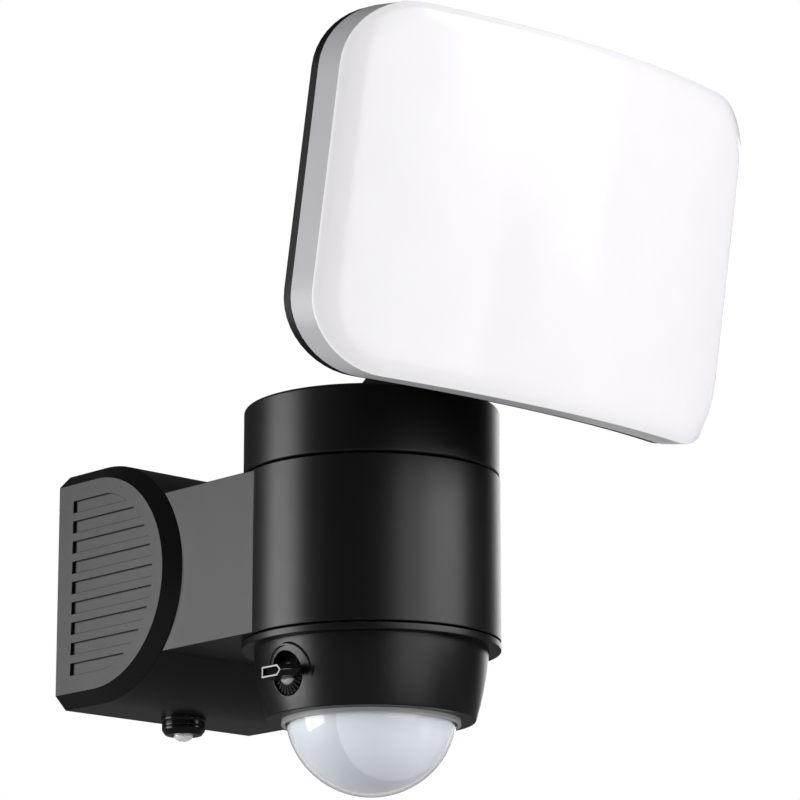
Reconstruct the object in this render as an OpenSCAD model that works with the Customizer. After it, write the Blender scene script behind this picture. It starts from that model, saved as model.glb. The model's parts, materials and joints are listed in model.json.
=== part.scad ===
// Wall-mounted LED floodlight with a motion sensor under its round body.
// Frame: millimetres, +Z up, the wall is the plane Y = 0 and the lamp faces -Y.
// The origin is the middle of the wall plate, on the wall.

/* [Body] */
// Diameter of the round body
body_d = 90; // [84:1:96]
// Height of the body tube between its two seams
body_h = 57.6; // [56:0.4:60]
// Distance from the wall to the body's axis
axis_dist = 116; // [110:1:124]
// Wall thickness of the plastic shells
wall_t = 2.6; // [2.2:0.1:3]
// Height of the cap that turns on the body
cap_h = 24; // [22:0.5:27]
// Gap at the two turning seams
seam_gap = 0.5; // [0.4:0.05:0.8]

/* [Bracket] */
// Radius of the bracket's rounded front, and half its height
bracket_r = 43; // [42:0.5:45]
// Straight part of the bracket between the wall and the rounded front
bracket_flat = 21.5; // [18:0.5:26]
// Half the bracket's width
bracket_half_w = 48; // [47:0.5:52]
// Chamfer around the two side caps
cap_chamfer = 4.75; // [3.5:0.25:5.5]
// Height of the arm between bracket and body
arm_h = 57; // [52:1:57]
// Number of grooves in each side cap
groove_count = 9; // [5:2:9]
// Distance from one groove to the next
groove_pitch = 7.43; // [7:0.05:7.6]
// Height of one groove
groove_h = 4.25; // [3:0.25:5]
// Depth of the grooves
groove_depth = 1.1; // [0.6:0.1:1.6]

/* [Wall plate] */
// Distance between the two slotted screw holes
slot_spacing = 60; // [50:1:64]
// Length of each slotted hole, end to end
slot_length = 10; // [8:0.5:14]
// Half the width of a slotted hole
slot_r = 2.5; // [2:0.1:3]
// Radius of the cable hole through the grommet
cable_r = 4.2; // [3:0.1:5]

/* [Lamp] */
// Width of the lamp's face
lamp_w = 190; // [170:1:200]
// Height of the lamp's face
lamp_h = 124; // [110:1:130]
// Corner radius of the lamp's face
lamp_corner = 25; // [18:1:30]
// Radius of the bow of the lamp, seen from above
lamp_bow = 225; // [200:5:300]
// Forward tilt of the lamp as drawn, in degrees
lamp_tilt = 10; // [5:1:12]
// Distance from the body's axis to the edge plane of the lamp's face
lamp_front = 104.5; // [100:0.5:112]
// Height of the middle of the lamp's face
lamp_z = 98.2; // [96:0.2:102]
// Depth of the diffuser's side wall
diffuser_depth = 11.4; // [10:0.2:13]
// Depth of the visible edge of the back shell
shell_depth = 4.8; // [4:0.2:6]
// How far the diffuser's face bulges in front of its edge
face_bulge = 2.2; // [1.5:0.1:3]
// Width of the soft slope around the diffuser's face
slope_w = 9; // [6:0.5:12]
// LED boards across the lamp
board_count = 5; // [3:2:5]
// LEDs on each board
leds_per_board = 8; // [4:1:10]

/* [Hinges] */
// Height of the tilt axis above the cap
hinge_rise = 23; // [22.5:0.5:26]
// Distance of the neck in front of the body's axis
neck_ahead = 18; // [16:0.5:20]
// Radius of the neck
neck_r = 13.5; // [12.5:0.5:14]
// How far the neck flares out at its foot
neck_flare = 7; // [4:0.5:8]
// Radius of the pan spigot
pan_spigot_r = 20; // [18:0.5:21]
// Radius of the sensor spigot
sensor_spigot_r = 24; // [22:0.5:25]
// Radial clearance of the turning fits
running_gap = 0.05; // [0.03:0.01:0.08]

/* [Sensor] */
// Height of the straight rim under the lower seam
rim_h = 2.5; // [2:0.1:4]
// Radius of the sensor cone at its top
cone_top_r = 40.7; // [40:0.1:41.5]
// Radius of the sensor cone at its bottom
cone_bottom_r = 36.1; // [35.5:0.1:37]
// Height of the sensor cone
cone_h = 24.2; // [23.5:0.1:26]
// Radius of the cone's slightly rounded side, seen from the front
cone_bow = 115; // [90:5:300]
// Radius of the dome lens
dome_r = 29.8; // [28:0.1:30.2]
// How far the dome's centre lies above the cone's bottom
dome_inset = 3.8; // [3:0.1:5]
// Height of a knob's axis above the cone's bottom
knob_rise = 12.3; // [12:0.1:13]
// Radius of a knob's recess
knob_recess_r = 7.5; // [7:0.1:8]
// Height of a knob's grip above its recess
grip_h = 6.5; // [5:0.5:8]
// Distance from a knob's axis to the tip of its pointer
knob_reach = 11; // [9:0.5:11.5]
// Teeth around a knob's skirt
knob_teeth = 24; // [16:2:32]

/* [Hidden] */
$fn = 96;
body_r = body_d / 2;
body_top = body_h / 2;
inner_r = body_r - wall_t;
fit_gap = 0.1;            // slack between parts that are screwed together
side_gap = 0.3;           // space between parts that move past each other
cut = 1;                  // how far a cutter runs past the face it cuts

// cap and pan bearing heights
cap_z = body_top + seam_gap;
cap_top = cap_z + cap_h;
cap_r = body_r - 0.2;
cap_edge = 1.2;
cap_roof = 3;
spigot_screw_x = 25;
ring_inset = 0.9;         // how deep both bearing rings lie in the body tube
pan_ring_top = body_top - ring_inset;
ring_t = 5;
hub_h = 12;
post_x = 36.6;            // distance from the body's axis to its inner posts
post_r = 3.6;
head_sink = 1.8;          // depth of the sunk screw heads in the bearings
washer_t = 0.5;
flange_t = 3;
pan_flange_z = pan_ring_top + washer_t + side_gap;

// arm and bracket
core_half_w = bracket_half_w - cap_chamfer;
face_r = bracket_r - cap_chamfer;
arm_half_w = core_half_w - 0.25;
arm_screw_x = 33;
arm_screw_z = 18;
arm_screw_y = -52;        // seat of the arm screws' heads, inside the bracket
arm_flange_y = -63;       // face between the bracket's studs and the arm's flange
arm_flange_t = 6;
window_half_w = 24;
window_half_h = 18;
groove_clip_r = face_r - 5.8;
groove_back = 8.3;
gasket_t = 1.5;
gasket_w = 1.4;
gasket_in = 0.6;          // how far the wall gasket lies inside the bracket's outline

// fixing screw under the bracket
screw_y = -14;
collar_r = 7;
collar_h = 5.2;
screw_r = 1.75;
screw_head_r = 3.5;
screw_head_h = 2.6;
tab_z = -34;
clip_t = 0.8;             // thickness of the fixing screw's clip
clip_groove_r = 1.35;     // radius of the fixing screw at its clip

// tilt hinge and lamp frame
hinge_y = -axis_dist - neck_ahead;
hinge_z = cap_top + hinge_rise;
wire_ahead = 9.3;         // how far the wire hole lies behind the neck's axis
knuckle_r = 10.7;
knuckle_half = 8;
cheek_in = 9.3;
cheek_out = 14.3;
cheek_r = 11;
bolt_r = 3;
face_y = -axis_dist - lamp_front;
// the tilt axis in the lamp's own tilted frame
hinge_dy = (hinge_y - face_y) * cos(lamp_tilt) + (hinge_z - lamp_z) * sin(lamp_tilt);
hinge_dz = (hinge_z - lamp_z) * cos(lamp_tilt) - (hinge_y - face_y) * sin(lamp_tilt);
shell_back = diffuser_depth + shell_depth;
cover_w = 84;
cover_d = 26;
cover_low = hinge_dz - 14;
cover_high = 16;
cover_back = shell_back + cover_d;
shell_head_r = 2.8;       // heads of the screws in the lamp's back
wire_z = hinge_dz + 6.4;  // height of the wire channel through the lamp's arm
board_angle = 9.2;
carrier_t = 1.6;
board_t = 1;
board_gap = 0.05;         // heat-conducting paste under the LED boards

// sensor head heights
rim_z = -body_top - seam_gap;
cone_z = rim_z - rim_h;
cone_bottom = cone_z - cone_h;
dome_z = cone_bottom + dome_inset;
knob_z = cone_bottom + knob_rise;
sensor_ring_z = -body_top + ring_inset;
dome_ring_r = 31;
dome_ring_drop = 1.6;
// distance from the body's axis to the mouth of a knob's recess
knob_mouth = cone_bottom_r + (cone_top_r - cone_bottom_r) * knob_rise / cone_h + 0.65;
knob_floor = knob_mouth - 3.4;
knob_shaft_r = 2;
pot_x = knob_floor - 6.3;
sensor_flange_r = 38;
sensor_flange_z = sensor_ring_z - washer_t - side_gap - flange_t;
sensor_floor = 2.6;
sensor_screw_x = 34.4;

// ---------- shared shapes ----------

module tube(r_out, r_in, h) {
  difference() {
    cylinder(r = r_out, h = h);
    translate([0, 0, -cut]) cylinder(r = r_in, h = h + 2 * cut);
  }
}

// A clip: a ring with a gap in it.
module open_ring(r_out, r_in, h, gap) {
  difference() {
    tube(r_out, r_in, h);
    translate([-gap / 2, 0, -cut]) cube([gap, 2 * r_out, h + 2 * cut]);
  }
}

// Children in the body's frame, with Z on the body's axis.
module at_axis() translate([0, -axis_dist, 0]) children();

// Children in the lamp's frame: Y runs from the face into the lamp.
module at_lamp() translate([0, face_y, lamp_z]) rotate([lamp_tilt, 0, 0]) children();

// Children copied at equal angles about Z.
module ring_of(count, radius, start = 0) {
  for (i = [0 : count - 1])
    rotate([0, 0, start + i * 360 / count]) translate([radius, 0, 0]) children();
}

// A shaft along X from one x to another.
module along_x(r, x0, x1) translate([x0, 0, 0]) rotate([0, 90, 0]) cylinder(r = r, h = x1 - x0);

// A pan-head screw: its head's seat is at z = 0 and its shank points down.
module pan_screw(r, length, head_r, head_h) {
  difference() {
    union() {
      translate([0, 0, -length]) cylinder(r = r, h = length);
      cylinder(r = head_r, h = head_h * 0.45);
      translate([0, 0, head_h * 0.45]) cylinder(r1 = head_r, r2 = head_r * 0.6, h = head_h * 0.55);
    }
    cross_recess(head_r, head_h);
  }
}

module cross_recess(head_r, head_h) {
  for (a = [0, 90])
    rotate([0, 0, a])
      translate([-head_r * 0.55, -head_r * 0.12, head_h * 0.4])
        cube([head_r * 1.1, head_r * 0.24, head_h]);
}

module rounded_rect(w, h, r) {
  square([w - 2 * r, h], center = true);
  square([w, h - 2 * r], center = true);
  for (x = [-1, 1], y = [-1, 1])
    translate([x * (w / 2 - r), y * (h / 2 - r)]) circle(r = r);
}

// A rounded rectangle in X and Z, extruded along +Y from y0 to y1.
module lamp_prism(w, h, r, y0, y1)
  translate([0, y1, 0]) rotate([90, 0, 0]) linear_extrude(height = y1 - y0) rounded_rect(w, h, r);

// Everything behind a bowed surface that touches y = depth in the middle.
module behind_bow(depth)
  translate([0, lamp_bow + depth, -lamp_h]) cylinder(r = lamp_bow, h = 2 * lamp_h, $fn = 360);

// A bowed slab of the lamp between two depths.
module bowed_slab(w, h, r, near, far) {
  difference() {
    intersection() {
      lamp_prism(w, h, r, near - cut, far + lamp_w / 6);
      behind_bow(near);
    }
    behind_bow(far);
  }
}

// The bracket's D profile along X: rounded front, flat back on the wall.
module d_body(half_w, r, back) {
  intersection() {
    translate([0, -bracket_flat, 0]) along_x(r, -half_w, half_w);
    translate([-half_w, -bracket_flat - r, -r]) cube([2 * half_w, r, 2 * r]);
  }
  translate([-half_w, -bracket_flat, -r]) cube([2 * half_w, bracket_flat + back, 2 * r]);
}

// The flat ring on the wall in which the gasket lies.
module gasket_ring()
  rotate([90, 0, 0]) linear_extrude(height = gasket_t) difference() {
    back_outline(gasket_in);
    back_outline(gasket_in + gasket_w);
  }

// The bracket's outline on the wall with its four chamfered corners, drawn smaller by inset.
module back_outline(inset) {
  half_w = bracket_half_w - inset;
  half_h = bracket_r - inset;
  chamfer = cap_chamfer - inset * (2 - sqrt(2));
  polygon([[half_w, half_h - chamfer], [half_w - chamfer, half_h],
    [chamfer - half_w, half_h], [-half_w, half_h - chamfer],
    [-half_w, chamfer - half_h], [chamfer - half_w, -half_h],
    [half_w - chamfer, -half_h], [half_w, chamfer - half_h]]);
}

// ---------- wall plate and bracket ----------

module wall_plate() color("silver") {
  plate_t = 2.5;
  half_w = 41;
  half_h = 38;
  difference() {
    union() {
      rotate([90, 0, 0]) linear_extrude(height = plate_t) rounded_rect(2 * half_w, 2 * half_h, 5);
      // hooks that carry the bracket's two rails
      for (x = [-1, 1]) translate([x * 24 - 5, 0, 0]) {
        translate([0, -12.5, 33.5]) cube([10, 12.5, 2]);
        translate([0, -12.5, 33.5]) cube([10, 2, 5]);
      }
      translate([-9, -22, tab_z]) cube([18, 22, 2.5]);
    }
    for (x = [-1, 1]) translate([x * slot_spacing / 2, 0, 0]) rotate([90, 0, 0]) slot_cutter(plate_t);
    rotate([90, 0, 0]) translate([0, 0, -cut]) cylinder(r = 9, h = plate_t + 2 * cut);
    translate([0, screw_y, tab_z - cut]) cylinder(r = 3, h = 2.5 + 2 * cut);
  }
}

module slot_cutter(plate_t) {
  half = slot_length / 2 - slot_r;
  translate([0, 0, -cut]) linear_extrude(height = plate_t + 2 * cut) {
    square([2 * half, 2 * slot_r], center = true);
    for (x = [-1, 1]) translate([x * half, 0]) circle(r = slot_r);
  }
}

module wall_gasket() color("dimgray") gasket_ring();

module cable_grommet() color("black") rotate([90, 0, 0]) difference() {
  union() {
    translate([0, 0, 0.6]) cylinder(r = 9, h = 2.4);
    translate([0, 0, 2.5]) cylinder(r = 11, h = 1.5);
    translate([0, 0, 4]) cylinder(r1 = 8, r2 = 6, h = 3);
  }
  translate([0, 0, -cut]) cylinder(r = cable_r, h = 10);
}

module bracket_core() color("black") difference() {
  union() {
    difference() {
      d_body(core_half_w, bracket_r, 0);
      d_body(core_half_w + cut, bracket_r - wall_t, cut);
    }
    // rails that hang on the wall plate's hooks
    for (x = [-1, 1]) translate([x * 24 - 8, -9.5, 37]) cube([16, 2, bracket_r - wall_t - 36.5]);
    terminal_shelf();
    // studs around the arm's screws
    arm_screw_places() translate([0, 0, -arm_screw_y]) cylinder(r = 4, h = arm_screw_y - arm_flange_y);
  }
  gasket_ring();
  window(-bracket_flat - bracket_r - cut, -bracket_flat - 20);
  arm_screw_places() translate([0, 0, -arm_screw_y - cut]) cylinder(r = 1.7, h = 20);
  translate([0, screw_y, -bracket_r - cut]) cylinder(r = screw_r + running_gap, h = wall_t + 2 * cut);
}

// Children at the arm's four screws, with +Z pointing away from the wall.
module arm_screw_places()
  for (x = [-1, 1], z = [-1, 1])
    translate([x * arm_screw_x, 0, z * arm_screw_z]) rotate([90, 0, 0]) children();

// Shelf that carries the terminal block above and the cable clamp below.
module terminal_shelf() {
  difference() {
    union() {
      translate([-20, -48, -2]) cube([40, 26, 2.5]);
      for (x = [-9.5, 9.5]) translate([x, -28, -8.5]) cylinder(r = 3, h = 7);
    }
    for (x = [-9.5, 9.5]) translate([x, -28, -9.5]) cylinder(r = 1.55, h = 6.5);
  }
  intersection() {
    for (x = [-20, 17.5]) translate([x, -50, -42]) cube([2.5, 28, 41]);
    d_body(core_half_w, bracket_r - 1, 0);
  }
}

// The opening for the wires between two distances from the wall.
module window(far, near)
  translate([-window_half_w, far, -window_half_h]) cube([2 * window_half_w, near - far, 2 * window_half_h]);

// One side cap, drawn for +X.
module side_cap() difference() {
  union() {
    intersection() {
      translate([core_half_w, -bracket_flat, 0]) rotate([0, 90, 0])
        cylinder(r1 = bracket_r, r2 = face_r, h = cap_chamfer);
      translate([core_half_w - cut, -bracket_flat - bracket_r, -bracket_r])
        cube([cap_chamfer + 2 * cut, bracket_r, 2 * bracket_r]);
    }
    rotate([90, 0, 0]) linear_extrude(height = bracket_flat)
      polygon([[core_half_w, -bracket_r], [bracket_half_w, -face_r],
        [bracket_half_w, face_r], [core_half_w, bracket_r]]);
    // rim that locates the cap in the core
    difference() {
      d_rim(bracket_r - wall_t - fit_gap);
      d_rim_hollow(bracket_r - wall_t - 2);
    }
  }
  gasket_ring();
  grooves();
}

module d_rim(r) intersection() {
  d_body(core_half_w, r, -4);
  translate([core_half_w - 3, -100, -50]) cube([3, 100, 100]);
}

module d_rim_hollow(r) intersection() {
  d_body(core_half_w + cut, r, cut);
  translate([core_half_w - 4, -100, -50]) cube([4, 101, 100]);
}

module grooves() intersection() {
  union() {
    for (i = [0 : groove_count - 1])
      translate([bracket_half_w - groove_depth, -bracket_flat - bracket_r,
        (i - (groove_count - 1) / 2) * groove_pitch - groove_h / 2])
        cube([groove_depth + cut, bracket_flat + bracket_r - groove_back, groove_h]);
  }
  translate([bracket_half_w - groove_depth - cut, -bracket_flat, 0]) rotate([0, 90, 0])
    linear_extrude(height = groove_depth + 3 * cut) {
      circle(r = groove_clip_r);
      translate([-groove_clip_r, 0]) square([2 * groove_clip_r, bracket_flat]);
    }
}

module side_cap_left() color([0.12, 0.12, 0.13]) mirror([1, 0, 0]) side_cap();
module side_cap_right() color([0.12, 0.12, 0.13]) side_cap();

// ---------- arm and body tube ----------

// Round tube with the arm that reaches back to the bracket.
module body_housing() color([0.08, 0.08, 0.08]) {
  hollow_w = 2 * (arm_half_w - wall_t);
  hollow_h = arm_h - 2 * wall_t;
  difference() {
    union() {
      at_axis() translate([0, 0, -body_top]) cylinder(r = body_r, h = body_h);
      translate([-arm_half_w, -axis_dist, -arm_h / 2])
        cube([2 * arm_half_w, axis_dist - bracket_flat - 10, arm_h]);
    }
    at_axis() translate([0, 0, -body_h]) cylinder(r = inner_r, h = 2 * body_h);
    difference() {
      translate([-hollow_w / 2, -axis_dist, -hollow_h / 2]) cube([hollow_w, axis_dist, hollow_h]);
      at_axis() translate([0, 0, -body_h]) cylinder(r = body_r - 0.4, h = 2 * body_h);
      translate([-body_r, arm_flange_y - arm_flange_t, -body_r]) cube([body_d, arm_flange_t, body_d]);
    }
    window(-axis_dist + inner_r / 2, -40);
    arm_screw_places() translate([0, 0, -arm_flange_y - cut]) cylinder(r = 1.55, h = 5.5 + cut);
    // shaped to the bracket's front
    translate([0, -bracket_flat, 0]) along_x(bracket_r, -body_d, body_d);
    arm_screw_places() cylinder(r = 4 + fit_gap, h = -arm_flange_y);
  }
  at_axis() {
    // posts for the bearings
    ring_of(4, 0, 45) {
      post(-body_top + ring_inset + ring_t, -4);
      post(4, body_top - ring_inset - ring_t);
    }
    // posts for the driver board
    ring_of(2, 0) post(-10, -1);
  }
}

module post(z0, z1) translate([post_x, 0, z0]) difference() {
  union() {
    cylinder(r = post_r, h = z1 - z0);
    translate([0, -2, 0]) cube([inner_r - post_x + wall_t / 2, 4, z1 - z0]);
  }
  translate([0, 0, -cut]) cylinder(r = 1.2, h = z1 - z0 + 2 * cut);
}

// Screws put in from the bracket's open back, which hold the arm.
module arm_screws() color("silver") arm_screw_places()
  translate([0, 0, -arm_screw_y]) rotate([180, 0, 0]) pan_screw(1.5, 15, 3, 2);

// ---------- captive fixing screw ----------

module screw_collar() color([0.08, 0.08, 0.08]) translate([0, screw_y, -bracket_r]) difference() {
  union() {
    translate([0, 0, -collar_h + 1.4]) cylinder(r = collar_r, h = collar_h - 1.4);
    translate([0, 0, -collar_h]) cylinder(r1 = collar_r - 1, r2 = collar_r, h = 1.4);
  }
  translate([0, 0, -collar_h - cut]) cylinder(r = screw_r + running_gap, h = collar_h + 2 * cut);
  translate([0, 0, -collar_h - cut]) cylinder(r = 4.6, h = 1.6 + cut);
}

module collar_seal() color("dimgray") translate([0, screw_y, -bracket_r - collar_h + 0.8])
  rotate_extrude() translate([3.4, 0]) circle(r = 0.8, $fn = 32);

module thread_insert() color("goldenrod")
  translate([0, screw_y, tab_z - 1]) tube(3, screw_r + running_gap, 5);

module fixing_screw() color("silver") translate([0, screw_y, -bracket_r - collar_h - side_gap])
  mirror([0, 0, 1]) difference() {
    union() {
      translate([0, 0, -17.5]) cylinder(r = screw_r, h = 18);
      cylinder(r = screw_head_r, h = 1.1);
      translate([0, 0, 1.1]) cylinder(r1 = screw_head_r, r2 = 2.6, h = 0.9);
      translate([0, 0, 2]) cylinder(r1 = 2.6, r2 = 1.4, h = screw_head_h - 2);
    }
    cross_recess(screw_head_r, screw_head_h);
    // groove for the clip
    translate([0, 0, -collar_h - wall_t - 2 * side_gap - clip_t]) tube(screw_r + cut, clip_groove_r, clip_t);
  }

module fixing_screw_clip() color("gray")
  translate([0, screw_y, -bracket_r + wall_t + side_gap]) open_ring(3.2, clip_groove_r, clip_t, 2.2);

// ---------- mains connection ----------

module terminal_block() color("white") translate([0, -35, 0.5]) difference() {
  translate([-15, -7, 0]) cube([30, 14, 14]);
  for (i = [-1 : 1]) {
    translate([i * 9.5, 0, 4.5]) rotate([90, 0, 0]) cylinder(r = 2, h = 20, center = true);
    for (y = [-3.5, 3.5]) translate([i * 9.5, y, 7]) cylinder(r = 2.1, h = 10);
  }
}

module terminal_screws() color("silver") for (i = [-1 : 1], y = [-3.5, 3.5])
  translate([i * 9.5, -35 + y, 0.5]) difference() {
    translate([0, 0, 7]) cylinder(r = 1.9, h = 4.5);
    translate([-2.5, -0.35, 10.6]) cube([5, 0.7, 2]);
  }

module cable_clamp() color("white") difference() {
  translate([-13, -32, -12]) cube([26, 8, 3.5]);
  translate([0, -20, -5.6]) rotate([90, 0, 0]) cylinder(r = 4.2, h = 20);
  for (x = [-9.5, 9.5]) translate([x, -28, -13]) cylinder(r = 1.6, h = 10);
}

module clamp_screws() color("silver") for (x = [-9.5, 9.5])
  translate([x, -28, -12]) rotate([180, 0, 0]) pan_screw(1.5, 8.5, 2.8, 1.8);

// ---------- bearings and electronics in the body tube ----------

module bearing(z_flange, z_hub, seat_z, r_bore) {
  low = min(z_flange, z_hub);
  // the screws' heads sink into the flange from its outer side
  sink_z = seat_z > z_flange + ring_t / 2 ? seat_z : z_flange - cut;
  difference() {
    union() {
      translate([0, 0, z_flange]) cylinder(r = inner_r - fit_gap, h = ring_t);
      translate([0, 0, low]) cylinder(r = r_bore + 4, h = hub_h);
    }
    translate([0, 0, low - cut]) cylinder(r = r_bore, h = hub_h + ring_t + 2 * cut);
    ring_of(4, post_x, 45) {
      translate([0, 0, z_flange - cut]) cylinder(r = 1.4, h = ring_t + 2 * cut);
      translate([0, 0, sink_z]) cylinder(r = 2.8, h = head_sink + cut);
    }
  }
}

module pan_bearing() color([0.75, 0.75, 0.72]) at_axis()
  bearing(pan_ring_top - ring_t, pan_ring_top - hub_h, pan_ring_top - head_sink,
    pan_spigot_r + running_gap);

module pan_washer() color("gold") at_axis()
  translate([0, 0, pan_ring_top]) tube(29, pan_spigot_r + 0.5, washer_t);

module sensor_bearing() color([0.75, 0.75, 0.72]) at_axis()
  bearing(sensor_ring_z, sensor_ring_z, sensor_ring_z + head_sink, sensor_spigot_r + running_gap);

module sensor_washer() color("gold") at_axis()
  translate([0, 0, sensor_ring_z - washer_t]) tube(33, sensor_spigot_r + 0.5, washer_t);

module bearing_screws() color("silver") at_axis() ring_of(4, post_x, 45) {
  translate([0, 0, pan_ring_top - head_sink]) pan_screw(1.15, 9, 2.6, 1.6);
  translate([0, 0, sensor_ring_z + head_sink]) rotate([180, 0, 0]) pan_screw(1.15, 9, 2.6, 1.6);
}

module driver_board() color("darkgreen") at_axis() translate([0, 0, -1]) difference() {
  cylinder(r = 41, h = 1.6);
  ring_of(2, post_x) translate([0, 0, -cut]) cylinder(r = 1.4, h = 4);
  // room for the wires
  translate([-15, 26, -cut]) cube([30, 40, 4]);
}

module board_screws() color("silver") at_axis() ring_of(2, post_x)
  translate([0, 0, 0.6]) pan_screw(1.15, 6, 2.4, 1.5);

module transformer() color([0.8, 0.7, 0.3]) at_axis() translate([-18, -10, 0.6]) difference() {
  cube([18, 16, 11]);
  for (x = [-cut, 14.5]) translate([x, 4, 2.5]) cube([3.5 + cut, 8, 6]);
}

module capacitor() color([0.1, 0.1, 0.3]) at_axis() translate([10, -14, 0.6]) {
  cylinder(r = 5, h = 9.5);
  translate([0, 0, 9.5]) cylinder(r1 = 5, r2 = 4.4, h = 0.8);
}

// ---------- cap, spigot and neck: the head that pans ----------

module cap() color([0.07, 0.07, 0.07]) at_axis() difference() {
  union() {
    difference() {
      cap_blank();
      translate([0, 0, cap_z - cut]) cylinder(r = cap_r - wall_t, h = cap_h - cap_roof + cut);
    }
    // bosses that the spigot's flange is screwed to
    ring_of(3, spigot_screw_x, 90)
      translate([0, 0, pan_flange_z + flange_t]) cylinder(r = 4, h = cap_top - pan_flange_z - flange_t - 2);
  }
  translate([0, 0, cap_z - cut]) ring_of(3, spigot_screw_x, 90) cylinder(r = 1.25, h = 12);
  translate([0, -neck_ahead, cap_top - cap_roof - cut]) {
    translate([0, wire_ahead, 0]) cylinder(r = 2.4, h = 2 * cap_roof);
    ring_of(2, 9) cylinder(r = 1.9, h = 2 * cap_roof);
  }
}

// Solid cap with its upper edge rounded.
module cap_blank() {
  translate([0, 0, cap_z]) cylinder(r = cap_r, h = cap_h - cap_edge);
  translate([0, 0, cap_top - cap_edge]) {
    cylinder(r = cap_r - cap_edge, h = cap_edge);
    rotate_extrude() translate([cap_r - cap_edge, 0]) circle(r = cap_edge, $fn = 48);
  }
}

module pan_spigot() color("gray") at_axis() difference() {
  foot_z = pan_ring_top - hub_h - 2.6;
  union() {
    translate([0, 0, foot_z]) cylinder(r = pan_spigot_r, h = pan_flange_z - foot_z + 1);
    translate([0, 0, pan_flange_z]) cylinder(r = 29, h = flange_t);
  }
  translate([0, 0, foot_z - cut]) cylinder(r = 14, h = 40);
  ring_of(3, spigot_screw_x, 90) {
    translate([0, 0, pan_flange_z - cut]) cylinder(r = 1.4, h = flange_t + 2 * cut);
    translate([0, 0, pan_flange_z - cut]) cylinder(r = 2.6, h = 1.6 + cut);
  }
  translate([0, 0, pan_ring_top - hub_h - side_gap - 1.2]) tube(pan_spigot_r + cut, pan_spigot_r - 1, 1.2);
}

module pan_clip() color("silver") at_axis() translate([0, 0, pan_ring_top - hub_h - side_gap - 1.2])
  open_ring(pan_spigot_r + 3, pan_spigot_r - 1, 1.2, 8);

module spigot_screws() color("silver") at_axis() ring_of(3, spigot_screw_x, 90)
  translate([0, 0, pan_flange_z + 1.6]) rotate([180, 0, 0]) pan_screw(1.2, 9, 2.4, 1.4);

// Neck that flares onto the cap, with a fork for the lamp's knuckle.
module neck() color([0.07, 0.07, 0.07]) translate([0, hinge_y, cap_top]) difference() {
  floor_z = hinge_rise - cheek_r - 0.5;
  cheek_t = cheek_out - cheek_in;
  union() {
    cylinder(r = neck_r, h = floor_z);
    cylinder(r1 = neck_r + neck_flare, r2 = neck_r, h = 10);
    for (s = [-1, 1]) translate([s * (cheek_in + cheek_t / 2), 0, 0]) {
      translate([0, 0, hinge_rise]) along_x(cheek_r, -cheek_t / 2, cheek_t / 2);
      translate([-cheek_t / 2, -cheek_r, floor_z - 1]) cube([cheek_t, 2 * cheek_r, cheek_r + 1.5]);
    }
    translate([-cheek_out, -cheek_r, floor_z - 1]) cube([2 * cheek_out, 2 * cheek_r, 1]);
  }
  translate([0, wire_ahead, -cut]) cylinder(r = 2.4, h = floor_z + 2 * cut);
  translate([0, 0, hinge_rise]) along_x(bolt_r + fit_gap, -20, 20);
  ring_of(2, 9) translate([0, 0, -cut]) cylinder(r = 1.25, h = 8);
}

module neck_screws() color("silver") translate([0, hinge_y, cap_top - cap_roof]) ring_of(2, 9)
  rotate([180, 0, 0]) pan_screw(1.2, 9, 3, 1.8);

module tilt_bolt() color("silver") translate([0, hinge_y, hinge_z]) difference() {
  union() {
    along_x(bolt_r, -cheek_out - 4.4, cheek_out);
    along_x(5.2, cheek_out, cheek_out + 3.6);
  }
  translate([cheek_out + 1.6, 0, 0]) rotate([0, 90, 0]) cylinder(r = 2.9, h = 5, $fn = 6);
}

module tilt_nut() color("silver") translate([-cheek_out - 3.4, hinge_y, hinge_z]) difference() {
  rotate([0, 90, 0]) cylinder(r = 5.6, h = 3.4, $fn = 6);
  along_x(bolt_r, -cut, 5);
}

module tilt_washers() color("gold") translate([0, hinge_y, hinge_z])
  for (x0 = [-cheek_in, knuckle_half + side_gap]) difference() {
    along_x(10, x0, x0 + cheek_in - knuckle_half - side_gap);
    along_x(bolt_r + running_gap, x0 - cut, x0 + 2);
  }

// ---------- lamp: tilts in the fork ----------

// Diffuser blank: the bowed face with a soft rounded edge.
module diffuser_blank() {
  steps = 5;
  hull() for (i = [0 : steps]) {
    // a soft slope that starts at the outline and flattens towards the face
    shrink = slope_w * i / steps;
    bulge = face_bulge * (1 - pow(1 - i / steps, 2));
    intersection() {
      lamp_prism(lamp_w - 2 * shrink, lamp_h - 2 * shrink, lamp_corner - shrink, -20, 40, $fn = 32);
      translate([0, lamp_bow - bulge, -lamp_h]) cylinder(r = lamp_bow, h = 2 * lamp_h, $fn = 180);
    }
  }
}

module diffuser() color("white") at_lamp() difference() {
  union() {
    difference() {
      diffuser_blank();
      intersection() {
        lamp_prism(lamp_w - 4.4, lamp_h - 4.4, lamp_corner - 2.2, -20, 60);
        behind_bow(1.4);
      }
    }
    // bosses for the back shell's screws
    intersection() {
      at_shell_screws() cylinder(r = 3, h = 40);
      behind_bow(1);
    }
  }
  behind_bow(diffuser_depth);
  for (p = shell_screw_spots())
    translate([p[0], bow_at(p[0]) + 4, p[1]]) rotate([-90, 0, 0]) cylinder(r = 1.55, h = 20);
}

// Children at the back shell's screws, with +Z pointing into the lamp.
module at_shell_screws()
  for (p = shell_screw_spots()) translate([p[0], 0, p[1]]) rotate([-90, 0, 0]) children();

module diffuser_gasket() color("dimgray") at_lamp() difference() {
  bowed_slab(lamp_w - 4.8, lamp_h - 4.8, lamp_corner - 2.4, diffuser_depth - 2, diffuser_depth);
  bowed_slab(lamp_w - 8.8, lamp_h - 8.8, lamp_corner - 4.4, diffuser_depth - 4, diffuser_depth + 2);
  at_shell_screws() cylinder(r = 3.3, h = 60);
}

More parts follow.
